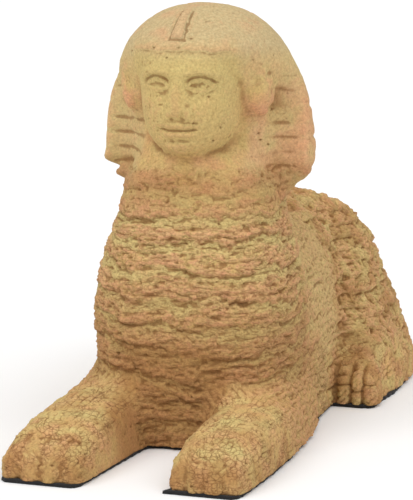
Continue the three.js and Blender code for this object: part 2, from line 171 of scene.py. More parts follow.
def ridged_noise(points, octaves, seed):
    """Noise with sharp ridges, from about -1 to 1."""
    return 0.7 - 2.4 * np.abs(layered_noise(points, octaves, seed))


# Mesh helpers


def new_piece(name, mesh):
    """The mesh as an object in the scene."""
    piece = bpy.data.objects.new(name, mesh)
    bpy.context.scene.collection.objects.link(piece)
    return piece


def bake_modifiers(piece):
    """Makes the piece's modifiers part of its mesh."""
    bpy.context.view_layer.update()
    graph = bpy.context.evaluated_depsgraph_get()
    mesh = bpy.data.meshes.new_from_object(piece.evaluated_get(graph))
    old = piece.data
    piece.modifiers.clear()
    piece.data = mesh
    bpy.data.meshes.remove(old)


def even_mesh(piece, size):
    """Rebuilds the piece as a closed skin of small even squares."""
    remesh = piece.modifiers.new("Even mesh", "REMESH")
    remesh.mode = "VOXEL"
    remesh.voxel_size = size
    bake_modifiers(piece)


def drop_skirt(mesh, depth):
    """Lets the form run on below the ground, so that rebuilding it doesn't round its foot."""
    points = points_of(mesh)
    points[points[:, 2] < CAST_LOW[2] + 1e-5, 2] -= depth
    set_points(mesh, points)


def trim_underside(piece, height):
    """Cuts the piece off level at its foot, and closes the cut."""
    form = bmesh.new()
    form.from_mesh(piece.data)
    cut = bmesh.ops.bisect_plane(
        form,
        geom=[*form.verts, *form.edges, *form.faces],
        plane_co=(0, 0, height),
        plane_no=(0, 0, 1),
        clear_inner=True,
    )
    rim = [part for part in cut["geom_cut"] if isinstance(part, bmesh.types.BMEdge)]
    bmesh.ops.triangle_fill(form, edges=rim, use_beauty=True)
    form.to_mesh(piece.data)
    form.free()


def thin_out(piece, triangles):
    """Leaves about this many triangles, most of them where there is most relief."""
    piece.data.calc_loop_triangles()
    share = triangles / len(piece.data.loop_triangles)
    if share >= 1:
        return
    decimate = piece.modifiers.new("Thin out", "DECIMATE")
    decimate.ratio = share
    bake_modifiers(piece)


def points_of(mesh):
    """Where the mesh's points are, one row each."""
    flat = np.empty(len(mesh.vertices) * 3, np.float32)
    mesh.vertices.foreach_get("co", flat)
    return flat.reshape(-1, 3).astype(float)


def set_points(mesh, points):
    mesh.vertices.foreach_set("co", points.astype(np.float32).ravel())
    mesh.update()


def normals_of(mesh):
    """Which way the skin faces at each point."""
    flat = np.empty(len(mesh.vertices) * 3, np.float32)
    mesh.vertex_normals.foreach_get("vector", flat)
    return flat.reshape(-1, 3).astype(float)


def relax(mesh, points, times, weight):
    """Moves each point towards its neighbours' middle, as far as its weight from 0 to 1 says."""
    pairs = np.empty(len(mesh.edges) * 2, np.int32)
    mesh.edges.foreach_get("vertices", pairs)
    a, b = pairs.reshape(-1, 2).T
    count = np.bincount(np.concatenate([a, b]), minlength=len(points))[:, None]
    weight = np.broadcast_to(weight, len(points))[:, None]
    for _ in range(times):
        total = np.column_stack(
            [
                np.bincount(a, points[b, k], len(points)) + np.bincount(b, points[a, k], len(points))
                for k in range(3)
            ]
        )
        points = points + weight * (total / count - points)
    return points


def store(mesh, name, values):
    """Keeps one number per point for the material to read."""
    made = mesh.attributes.new(name, "FLOAT", "POINT")
    made.data.foreach_set("value", values.astype(np.float32))


# Where things are on the statue


def in_shares(points):
    """x, y and z in hundredths of the height, from the middle of the statue's underside."""
    return (points - MIDDLE) / SHARE


def face_mask(x, y, z):
    sides = 1 - smoothstep(np.abs(x), FACE_HALF_WIDTH - 0.6, FACE_HALF_WIDTH + 0.9)
    return sides * smoothstep(-y, 9.5, 12.5) * smoothstep(z, 65.2, 67) * (1 - smoothstep(z, 88, 89.4))


def leg_mask(x, y, z):
    low = 1 - smoothstep(z, LEG_TOP, LEG_TOP + 3)
    return smoothstep(-y, 20, 28) * low * smoothstep(np.abs(x + 0.6), 7, 9)


def chest_mask(x, y, z):
    upper = smoothstep(z, 12, 18) * (1 - smoothstep(z, 60, 65))
    bay = (1 - smoothstep(np.abs(x), 8.5, 10.5)) * (1 - smoothstep(z, 18, 24))
    return np.maximum(upper, bay) * (1 - smoothstep(y, -4, 14)) * (1 - smoothstep(-y, 30, 33))


def haunch_mask(x, y, z):
    return smoothstep(y, 27, 36) * smoothstep(z, 8, 14)


def hind_paw_mask(x, y, z):
    across = smoothstep(np.abs(x), 20, 24)
    return (1 - smoothstep(y, 31, 37)) * smoothstep(y, 17, 20) * across * (1 - smoothstep(z, 12, 15))


def ear_mask(x, y, z):
    return hump(np.abs(x) - EAR_SIDE, 3.3) * hump(z - EAR_HEIGHT, 6) * smoothstep(-y, 3, 6)


def ear_relief(s):
    """A worn ear: a low, raised lump with a shallow hollow in its upper half."""
    x, y, z = s.T
    side = np.abs(x) - EAR_SIDE
    off = np.hypot(side / 3.1, (z - EAR_HEIGHT) / 6) + 0.18 * noise(s / 2.5, 49)
    dip = np.hypot((side + 0.2) / 1.7, (z - EAR_HEIGHT - 1.8) / 2.8)
    return (1.1 - 1.1 * smoothstep(off, 0.65, 1.1) - 0.75 * hump(dip, 1)) * smoothstep(-y, 2, 5)


def cobra_mask(s, margin):
    """1 on the strip that is left of the cobra, with its edge moved out by the margin."""
    x, y, z = s.T
    half = 1.35 - 0.07 * (z - 92) + margin + 0.3 * noise(s / 1.6, 50)
    across = 1 - smoothstep(np.abs(x + COBRA_SIDE), half - 0.2, half + 0.25)
    return across * smoothstep(z, 92.4 - margin, 93.1 - margin) * (1 - smoothstep(z, 98.2, 99)) * (y < 0)


# Relief: each function returns how far the surface stands out there, in millimetres


def bed_profile(level):
    """One bed over its height: proud at its torn lower edge, and worn back towards its top."""
    step = level - np.floor(level)
    return (1 - step) * smoothstep(step, 0, 0.13), step


def eroded_beds(s):
    """Broken layers of soft and hard stone, and where they are torn, hollow and undercut, the undercut as
    a mask for painted shade under the ledges.
    """
    x, y, z = s.T
    _, chunk = cells(x + 0.6 * y + noise(s / 4, 9), z + 1.2 * noise(s / 6, 10), 5.2, BED / 2, 7)
    waver = 2.2 * noise(s / 13, 1) + 1.1 * noise(s / 5, 2) + 0.6 * noise(s / 2.2, 3) + 1.3 * (chunk - 0.5)
    main, step = bed_profile((z - 0.05 * y + waver) / BED)
    thin, _ = bed_profile((z + 1.3 * noise(s / 7, 5) + 0.7 * noise(s / 2.4, 6)) / THIN_BED)
    strength = 0.25 + 0.75 * smoothstep(noise(s * (0.09, 0.09, 0.16), 4), -0.4, 0.4)
    patch = smoothstep(noise(s * (0.1, 0.1, 0.22), 7), -0.35, 0.25)
    torn = smoothstep(step, 0.02, 0.12) * (1 - smoothstep(step, 0.42, 0.75))
    torn = np.clip(torn + 0.5 * patch, 0, 1)
    crumbs = ridged_noise(s * (0.42, 0.42, 1.0), 2, 8)
    # Just under each torn edge: a mask for painted shade below the ledges.
    under = (1 - smoothstep(np.abs(step - 0.05), 0.02, 0.1)) * strength
    strata = ridged_noise(s * (0.15, 0.15, 0.6) + 0.3 * waver[:, None], 3, 16)
    out = 1.15 * strength * (main - 0.45) + 0.6 * patch * (thin - 0.45) + 0.6 * strata
    out += 0.38 * crumbs * (0.06 + 0.94 * torn)
    return out, torn, smoothstep(step, 0.5, 0.7) * (1 - 0.5 * patch), under


def cells(along, across, length, depth, seed):
    """Blocks in staggered rows: each point's way in from the edge, and a number per block."""
    row = np.floor(across / depth)
    stagger = 0.5 * (row % 2) + 0.3 * np.sin(row * 2.7 + seed)
    place = along / length + stagger
    column = np.floor(place)
    inside_row = np.minimum(across / depth - row, 1 - (across / depth - row)) * depth
    inside_column = np.minimum(place - column, 1 - (place - column)) * length
    number = np.sin(row * 12.9898 + column * 78.233 + seed) * 43758.5453
    return np.minimum(inside_row, inside_column), number - np.floor(number)


def block_courses(s):
    """Rough courses on the haunches, with blocks standing out, worn back and fallen out."""
    x, y, z = s.T
    wander = z + 1.0 * noise(s / 9, 11) + 0.5 * noise(s / 3, 15)
    round_about = np.arctan2(y - 56, np.abs(x) + 1e-6) * 30
    on_top = wander > TOP_COURSE * COURSE
    along = np.where(on_top, x + 0.8 * y, round_about) + 2.4 * noise(s / 5, 12)
    inside, number = cells(along, wander, 4.8, COURSE, 3)
    block = (number - 0.5) * 1.5 * smoothstep(inside, 0, 0.45)
    course, _ = bed_profile(wander / COURSE + 0.1)
    rough = 0.5 * ridged_noise(s * (0.4, 0.4, 0.7), 2, 13)
    rough += 0.3 * ridged_noise(s * (0.7, 0.7, 1.1), 1, 17)
    rough *= smoothstep(z, 12, 22)
    hollow = -1.1 * smoothstep(noise(s / 3.4, 14), 0.3, 0.62)
    return block + 0.7 * (course - 0.45) + rough + hollow


def small_masonry(s):
    """Small worn blocks laid along the forelegs and over the paws."""
    x, y, z = s.T
    side = np.sign(x)
    girth = np.abs(np.abs(x) - 18) - z
    warp = 0.6 * noise(s / 5, 21) + 0.35 * noise(s / 1.8, 23)
    inside, number = cells(y + side * 1.3 + warp, girth + 0.6 * warp, 2.6, 1.7, 5)
    block = (number - 0.5) * 0.6 * smoothstep(inside, 0.05, 0.45)
    joint = -0.4 * (1 - smoothstep(inside, 0, 0.4)) * number
    return block + joint + 0.2 * ridged_noise(s / 2.2, 2, 22)


def toe_grooves(x, across, width):
    """Grooves between the four toes of a paw."""
    low, high = across
    pitch = (high - low) / 4
    place = (x - low) / pitch
    nearest = np.clip(np.round(place), 1, 3)
    return -hump((place - nearest) * pitch, width)


def wing_relief(s):
    """The headcloth's wings: a hollow inside a raised rim, and fine level grooves that wear away."""
    x, y, z = s.T
    across = np.abs(x + 0.4)
    front = smoothstep(-y, -5, -1)
    lower = smoothstep(z, 59, 63) * (1 - smoothstep(z, 80, 87))
    hollow = -2.2 * hump(across - 19.4, 3) + 1.0 * hump(across - 23.9, 1.2)
    height = (z - PLEAT_FOOT + 0.35 * noise(s / 8, 31)) / PLEAT_PITCH
    away = (height - np.round(height)) * PLEAT_PITCH
    wear = (0.2 + 0.8 * smoothstep(noise(s / 4, 32), -0.4, 0.3)) * (1 - 0.5 * smoothstep(z, 75, 81))
    fading = 1 - 0.75 * smoothstep(across, 22.8, 24.2) * front
    outward = np.where(x > 0, 1 - 0.75 * front * (1 - smoothstep(x, 16, 21.5)), 1)
    groove = (-0.38 * hump(away, 0.5) - 0.12 * np.cos(2 * math.pi * height)) * outward
    return hollow * front * lower + groove * wear * fading * (1 - smoothstep(z, 84, 87))


def calm_face(x, z):
    """Lids, brows, lips and nostrils, a little worn, on an even and quite general face."""
    aside = np.abs(x) / FACE_HALF_WIDTH
    up = (z - FACE_CHIN) / (FACE_TOP - FACE_CHIN)
    from_eye = aside - 0.43
    lid_line = up - 0.655
    arch = 0.055 * (1 - np.clip(np.abs(from_eye) / 0.25, 0, 1) ** 2)
    on_eye = 1 - smoothstep(np.abs(from_eye), 0.2, 0.28)
    socket = -0.9 * hump(from_eye, 0.26) * hump(lid_line - 0.02, 0.07)
    ball = 0.75 * hump(from_eye, 0.14) * hump(lid_line, 0.04)
    upper_lid = 0.6 * hump(lid_line - arch, 0.02) * on_eye
    lower_lid = 0.42 * hump(lid_line + 0.75 * arch, 0.018) * on_eye
    crease = -0.5 * hump(lid_line - arch - 0.045, 0.018) * on_eye
    brow_line = 0.785 - 0.06 * np.clip(np.abs(aside - 0.4) / 0.4, 0, 1) ** 2
    brow_ends = smoothstep(aside, 0.08, 0.2) * (1 - smoothstep(aside, 0.72, 0.86))
    brow = 0.85 * hump(up - brow_line, 0.028) * brow_ends
    mouth_line = up - 0.238 - 0.012 * hump(aside - 0.34, 0.1)
    parting = -0.75 * hump(mouth_line, 0.016) * (1 - smoothstep(aside, 0.3, 0.42))
    upper_lip = 0.5 * hump(up - 0.28, 0.024) * (1 - smoothstep(aside, 0.2, 0.38))
    lower_lip = 0.6 * hump(up - 0.195, 0.026) * (1 - smoothstep(aside, 0.16, 0.34))
    under_lip = -0.35 * hump(up - 0.135, 0.022) * (1 - smoothstep(aside, 0.15, 0.35))
    worn_nose = 0.8 * hump(aside, 0.14) * smoothstep(up, 0.33, 0.39) * (1 - smoothstep(up, 0.56, 0.72))
    nostril = -0.5 * hump(aside - 0.11, 0.04) * hump(up - 0.35, 0.018)
    nose_wing = 0.4 * hump(aside - 0.18, 0.05) * hump(up - 0.385, 0.035)
    eye = socket + ball + upper_lid + lower_lid + crease + brow
    return eye + parting + upper_lip + lower_lip + under_lip + worn_nose + nostril + nose_wing


def pits(s, count, seed, low, high, reach):
    """Small holes at random places in a box, in shares: a mask from 0 to 1."""
    picks = np.random.default_rng(seed)
    total = np.zeros(len(s))
    inside = np.flatnonzero(np.all((s > low) & (s < high), axis=1))
    if len(inside) == 0:
        return total
    for centre in s[picks.choice(inside, count)]:
        size = reach * picks.uniform(0.5, 1.3)
        near = np.flatnonzero(np.all(np.abs(s - centre) < 2.5 * size, axis=1))
        stretch = (s[near] - centre) / (1.5, 1.5, 0.8)
        total[near] = np.maximum(total[near], hump(np.linalg.norm(stretch, axis=1), size * 0.7))
    return total


def chip(s, centre, radius):
    """1 at the middle of a chip or hole, and 0 away from it."""
    return hump(np.linalg.norm(s - centre, axis=1), radius)


def all_pits(s):
    """Every pit and hole of the casting: a mask from 0 to 1."""
    total = sum(pits(s, *area) for area in PIT_AREAS)
    total += sum(chip(s, *hole) for hole in HOLES)
    return np.clip(total, 0, 1)


def areas_of(s):
    """Masks from 0 to 1 for the parts of the statue, and the shape of the beds."""
    x, y, z = s.T
    at = SimpleNamespace()
    ragged = y + 3 * noise(s / 7, 52)
    at.face, at.legs, at.chest = face_mask(x, y, z), leg_mask(x, y, z), chest_mask(x, ragged, z)
    at.haunch, at.hind_paw = haunch_mask(x, ragged, z), hind_paw_mask(x, y, z)
    at.ear = ear_mask(x, y, z)
    at.cloth = smoothstep(z, CLOTH_HEM - 1, CLOTH_HEM + 2) * (1 - at.face)
    behind = smoothstep(y, 3, 9)
    at.wings = at.cloth * (1 - 0.9 * at.ear) * np.maximum(smoothstep(np.abs(x), 11.5, 13.5), behind)
    along_flank = smoothstep(ragged, 2, 13) * (1 - smoothstep(ragged, 27, 36))
    at.flank = along_flank * (1 - at.hind_paw) * (1 - at.cloth)
    at.haunch_foot = smoothstep(y, 29, 35) * (1 - smoothstep(z, 9, 14)) * (1 - at.hind_paw)
    beside = smoothstep(np.abs(x), 19, 22) * (1 - smoothstep(z, 13, 20))
    at.low_side = beside * (1 - smoothstep(y, 14, 20)) * (1 - at.legs)
    at.neck = smoothstep(z, *NECK)
    at.strip = cobra_mask(s, 0)
    at.crown = smoothstep(z, *CROWN) * (1 - at.strip)
    at.beds, at.torn, at.bed_hollow, at.under = eroded_beds(s)
    in_beds = np.clip(at.chest * (1 - 0.6 * at.neck) + 0.5 * at.flank + 0.5 * at.low_side, 0, 1)
    at.bedded = in_beds * (1 - at.legs)
    return at


# Settings


def strength(name, description):
    return bpy.props.FloatProperty(name=name, description=description, default=1.0, min=0, max=2)


def colour_of(name, description, default):
    return bpy.props.FloatVectorProperty(
        name=name, description=description, subtype="COLOR", size=3, default=default
    )


class StoneSettings(bpy.types.PropertyGroup):
    """Relief and colours of the casting."""

    beds: strength("Bed relief", "Strength of the eroded layers on the chest")
    courses: strength("Course relief", "Strength of the block courses on the haunches")
    masonry: strength("Small masonry", "Strength of the small blocks on the forelegs")
    pleating: strength("Pleats", "Strength of the headcloth's folds")
    fineness: bpy.props.FloatProperty(
        name="Mesh size",
        description="Size of the squares that the relief is carved in",
        default=0.0005,
        unit="LENGTH",
    )
    triangles: bpy.props.IntProperty(
        name="Triangles", description="Triangles left in the finished casting", default=192000
    )
    sand: colour_of("Sand", "Main colour of the cast stone", (0.60, 0.395, 0.152))
    # Pale is also the painted light on the tops of the legs and hind paws and, in part, on the flank.
    pale: colour_of(
        "Pale hollows", "Yellow-green tint in smooth and sheltered places", (0.61, 0.495, 0.20)
    )
    rosy: colour_of("Rosy edges", "Pink tint on worn edges", (0.68, 0.335, 0.185))
    dust: colour_of("Dust", "Paler, greyer tint of the crown", (0.53, 0.42, 0.235))
    # Clay is also the painted shade in wide sheltered hollows and between the forelegs.
    clay_and_shade: colour_of("Clay", "Warmer brown of the low and sheltered parts", (0.34, 0.16, 0.052))
    # This brown is also the painted shade in creases and under the ledges of the beds.
    earth_and_shade: colour_of("Pits", "Brown of the pits and cracks", (0.20, 0.09, 0.03))


class FeltSettings(bpy.types.PropertyGroup):
    """The pad under the casting."""

    colour: colour_of("Felt", "Colour of the felt", (0.009, 0.008, 0.008))
    fuzz: bpy.props.FloatProperty(
        name="Fuzz", description="How uneven the felt's cut edge is", default=0.00022, unit="LENGTH"
    )


class StudioSettings(bpy.types.PropertyGroup):
    """Camera, floor and lights."""

    azimuth: bpy.props.FloatProperty(
        name="Azimuth",
        description="Camera's angle round the statue",
        default=math.radians(17.7),
        subtype="ANGLE",
    )
    elevation: bpy.props.FloatProperty(
        name="Elevation",
        description="Camera's angle above the floor",
        default=math.radians(10),
        subtype="ANGLE",
    )
    distance: bpy.props.FloatProperty(
        name="Distance", description="From the camera to what it looks at", default=0.6088, unit="LENGTH"
    )
    lens: bpy.props.FloatProperty(
        name="Lens", description="Focal length, in millimetres, on a 36 mm wide sensor", default=144.0
    )
    floor: colour_of("Floor", "Colour of the floor", (0.9, 0.9, 0.9))
    sky: bpy.props.FloatProperty(
        name="Sky", description="Brightness of the even light from all round", default=0.62
    )
    backdrop: bpy.props.FloatProperty(
        name="Backdrop", description="Brightness of the background behind the statue", default=1.0
    )
    key: bpy.props.FloatProperty(
        name="Key light", description="Strength of the soft light from the front and above", default=1.15
    )
    top: bpy.props.FloatProperty(
        name="Top light", description="Strength of the soft light from above", default=1.2
    )


# Shader helpers


def feed(tree, socket, value):
    """Links the socket to another node's output, or sets it to a plain value."""
    if isinstance(value, bpy.types.NodeSocket):
        tree.links.new(value, socket)
    else:
        socket.default_value = value


def node(tree, kind, inputs=None, **settings):
    """A new node with its settings, and its inputs set or linked."""
    made = tree.nodes.new(kind)
    for name, value in settings.items():
        setattr(made, name, value)
    for name, value in (inputs or {}).items():
        feed(tree, made.inputs[name], value)
    return made


def new_group(name, inputs, outputs):
    """An empty shader group, from {name: (socket kind, default)} and {name: socket kind}."""
    tree = bpy.data.node_groups.new(name, "ShaderNodeTree")
    for label, (kind, default) in inputs.items():
        socket = tree.interface.new_socket(label, in_out="INPUT", socket_type=kind)
        if default is not None:
            socket.default_value = default
    for label, kind in outputs.items():
        tree.interface.new_socket(label, in_out="OUTPUT", socket_type=kind)
    return tree, tree.nodes.new("NodeGroupInput"), tree.nodes.new("NodeGroupOutput")


def use_group(tree, group, inputs):
    return node(tree, "ShaderNodeGroup", inputs, node_tree=group)


def ramp(tree, value, low, high):
    """value stretched so that low gives 0 and high gives 1."""
    inputs = {"Value": value, "From Min": low, "From Max": high}
    made = node(tree, "ShaderNodeMapRange", inputs, interpolation_type="SMOOTHSTEP")
    return made.outputs["Result"]


def mixed(tree, factor, a, b, blend="MIX"):
    """Colour a, with colour b over it as far as the factor from 0 to 1 says."""
    a, b = (c if isinstance(c, bpy.types.NodeSocket) else (*c, 1) for c in (a, b))
    inputs = {0: factor, 6: a, 7: b}
    return node(tree, "ShaderNodeMix", inputs, data_type="RGBA", blend_type=blend).outputs[2]


def maths(tree, operation, *values):
    """A sum on plain numbers and other nodes' outputs."""
    return node(tree, "ShaderNodeMath", dict(enumerate(values)), operation=operation).outputs[0]


def times(tree, first, *others):
    """All values multiplied, from left to right."""
    for value in others:
        first = maths(tree, "MULTIPLY", first, value)
    return first


def vector_maths(tree, operation, *values):
    made = node(tree, "ShaderNodeVectorMath", dict(enumerate(values)), operation=operation)
    return made.outputs["Vector"]


def grain_group():
    """Fine grain: a height for bump, and a mask of separate dark specks."""
    tree, given, result = new_group(
        "Fine grain",
        {
            "Vector": ("NodeSocketVector", None),
            "Scale": ("NodeSocketFloat", 1.0),
            "Specks": ("NodeSocketFloat", 0.6),
        },
        {"Height": "NodeSocketFloat", "Speck": "NodeSocketFloat"},
    )
    vector, scale, specks = given.outputs[:3]
    noises = {"Vector": vector, "Scale": scale, "Detail": 3.0, "Roughness": 0.65}
    fine = node(tree, "ShaderNodeTexNoise", noises).outputs["Fac"]
    noises = {"Vector": vector, "Scale": times(tree, scale, 0.62), "Detail": 2.0}
    coarse = node(tree, "ShaderNodeTexNoise", noises).outputs["Fac"]
    speck = ramp(tree, coarse, specks, 0.78)
    tree.links.new(fine, result.inputs["Height"])
    tree.links.new(speck, result.inputs["Speck"])
    return tree


def mottle_group():
    """Slow, cloudy change over the surface, from 0 to 1."""
    tree, given, result = new_group(
        "Mottle",
        {"Vector": ("NodeSocketVector", None), "Scale": ("NodeSocketFloat", 1.0)},
        {"Amount": "NodeSocketFloat"},
    )
    vector, scale = given.outputs[:2]
    noises = {"Vector": vector, "Scale": scale, "Detail": 4.0, "Roughness": 0.6}
    clouds = node(tree, "ShaderNodeTexNoise", noises).outputs["Fac"]
    tree.links.new(ramp(tree, clouds, 0.32, 0.68), result.inputs["Amount"])
    return tree


def crack_group():
    """Thin wandering cracks, and small cells with joints between them, each as a mask of lines."""
    tree, given, result = new_group(
        "Cracks",
        {
            "Vector": ("NodeSocketVector", None),
            "Stretch": ("NodeSocketVector", (1, 1, 1)),
            "Scale": ("NodeSocketFloat", 1.0),
            "Width": ("NodeSocketFloat", 0.04),
        },
        {"Cracks": "NodeSocketFloat", "Joints": "NodeSocketFloat"},
    )
    vector, stretch, scale, width = given.outputs[:4]
    stretched = vector_maths(tree, "MULTIPLY", vector, stretch)
    noises = {"Vector": stretched, "Scale": scale, "Detail": 1.0}
    bend = node(tree, "ShaderNodeTexNoise", noises).outputs["Color"]
    bend = vector_maths(tree, "SUBTRACT", bend, (0.5, 0.5, 0.5))
    place = vector_maths(tree, "MULTIPLY_ADD", bend, (BEND, BEND, BEND), stretched)
    noises = {"Vector": place, "Scale": scale, "Detail": 3.0, "Roughness": 0.6}
    wander = node(tree, "ShaderNodeTexNoise", noises).outputs["Fac"]
    away = maths(tree, "ABSOLUTE", maths(tree, "SUBTRACT", wander, 0.5))
    tree.links.new(ramp(tree, away, width, 0.0), result.inputs["Cracks"])
    grid = {"Vector": place, "Scale": scale, "Randomness": 0.75}
    edges = node(tree, "ShaderNodeTexVoronoi", grid, feature="DISTANCE_TO_EDGE")
    tree.links.new(ramp(tree, edges.outputs["Distance"], width, 0.0), result.inputs["Joints"])
    return tree


def stone_material(settings, grain, mottle, cracks):
    """Sand-coloured stone, tinted by what the mesh knows about each point, including painted shade in
    creases, hollows and under ledges, and some painted light.
    """
    material = bpy.data.materials.new("Cast sandstone")
    material.use_nodes = True
    tree = material.node_tree
    shader = tree.nodes["Principled BSDF"]
    place = node(tree, "ShaderNodeTexCoord").outputs["Object"]
    hollow, sheltered, pits_and_ledge_shade, smooth, torn, stains_and_shade, bedded, blocks, dusty = (
        node(tree, "ShaderNodeAttribute", attribute_name=name).outputs["Fac"]
        for name in MASKS
    )
    fine = use_group(tree, grain, {"Vector": place, "Scale": 1500.0, "Specks": 0.56})
    layers = vector_maths(tree, "MULTIPLY", place, (1, 1, 2.8))
    clouds = ((place, 60.0), (place, 150.0), (place, 900.0), (layers, 110.0), (layers, 420.0))
    broad, middling, close, layered, finely_layered = (
        use_group(tree, mottle, {"Vector": vector, "Scale": scale}).outputs["Amount"]
        for vector, scale in clouds
    )
    flat_cells = {"Vector": place, "Stretch": (1, 1, 2.8), "Scale": 330.0, "Width": 0.05}
    streaks = use_group(tree, cracks, flat_cells).outputs["Cracks"]
    long_cells = {"Vector": place, "Stretch": (0.8, 0.5, 1.3), "Scale": 750.0, "Width": 0.11}
    joints = use_group(tree, cracks, long_cells).outputs["Joints"]

    worn_edge = ramp(tree, hollow, -0.15, -0.8)
    # Painted shade: darker brown in small creases.
    crease_shade = ramp(tree, hollow, 0.12, 0.9)
    # Painted shade: warmer brown in wide sheltered hollows.
    occlusion_shade = ramp(tree, sheltered, 0.1, 0.8)
    rough_skin = maths(tree, "SUBTRACT", 1.0, times(tree, smooth, 0.85))
    unblocked = maths(tree, "SUBTRACT", 1.0, blocks)
    joint = times(tree, joints, blocks, ramp(tree, middling, 0.15, 0.75))
    tints = (
        (settings.pale, (broad, 0.6)),
        (settings.rosy, (middling, rough_skin, 0.6)),
        (settings.clay_and_shade, (layered, bedded, 0.45)),
        # Pale smooth skin, with painted highlight on leg tops and painted light on the flank.
        (settings.pale, (smooth, 0.8)),
        (settings.dust, (dusty, 0.8)),
        (settings.rosy, (torn, middling, 0.7)),
        (settings.rosy, (worn_edge, rough_skin, unblocked, 0.55)),
        (settings.pale, (finely_layered, bedded, 0.35)),
        (settings.clay_and_shade, (close, 0.2)),
        # Stains, with painted shade in the bay, under the chin and on the legs' fronts.
        (settings.clay_and_shade, (stains_and_shade, 0.75)),
        # Painted shade in wide sheltered hollows.
        (settings.clay_and_shade, (occlusion_shade, 0.5)),
        # Painted shade in small creases.
        (settings.earth_and_shade, (crease_shade, 0.52)),
        (settings.earth_and_shade, (streaks, bedded, 0.4)),
        (settings.earth_and_shade, (joint, 0.62)),
        # Pits, and painted shade under the ledges of the beds.
        (settings.earth_and_shade, (pits_and_ledge_shade, 0.65)),
        (settings.earth_and_shade, (fine.outputs["Speck"], rough_skin, 0.42)),
    )
    colour = settings.sand
    for tint, amounts in tints:
        colour = mixed(tree, times(tree, *amounts), colour, tint)
    grains = {"Value": fine.outputs["Height"], "From Min": 0.3, "From Max": 0.7}
    shade = node(tree, "ShaderNodeMapRange", {**grains, "To Min": 0.8, "To Max": 1.18}).outputs["Result"]
    lit = node(tree, "ShaderNodeCombineColor", {"Red": shade, "Green": shade, "Blue": shade})
    colour = mixed(tree, 1.0, colour, lit.outputs["Color"], "MULTIPLY")
    tree.links.new(colour, shader.inputs["Base Color"])

    cut = maths(tree, "MULTIPLY_ADD", joint, 1.2, times(tree, streaks, bedded))
    height = maths(tree, "MULTIPLY_ADD", cut, -0.5, fine.outputs["Height"])
    bump = node(tree, "ShaderNodeBump", {"Height": height, "Strength": 0.6, "Distance": 0.0004})
    tree.links.new(bump.outputs["Normal"], shader.inputs["Normal"])
    shader.inputs["Roughness"].default_value = 0.95
    shader.inputs["Specular IOR Level"].default_value = 0.2
    return material


def felt_material(settings, grain):
    """Black felt with a few paler fibres."""
    material = bpy.data.materials.new("Black felt")
    material.use_nodes = True
    tree = material.node_tree
    shader = tree.nodes["Principled BSDF"]
    place = node(tree, "ShaderNodeTexCoord").outputs["Object"]
    fibres = use_group(tree, grain, {"Vector": place, "Scale": 2600.0, "Specks": 0.5})
    light = tuple(min(c * 2.6, 1) for c in settings.colour)
    colour = mixed(tree, times(tree, fibres.outputs["Speck"], 0.7), settings.colour, light)
    tree.links.new(colour, shader.inputs["Base Color"])
    pile = {"Height": fibres.outputs["Height"], "Strength": 0.8, "Distance": 0.0003}
    bump = node(tree, "ShaderNodeBump", pile)
    tree.links.new(bump.outputs["Normal"], shader.inputs["Normal"])
    shader.inputs["Roughness"].default_value = 1.0
    shader.inputs["Sheen Weight"].default_value = 0.08
    return material


def dress(piece, material):
    piece.data.materials.clear()
    piece.data.materials.append(material)
    piece.data.shade_smooth()


# Operators


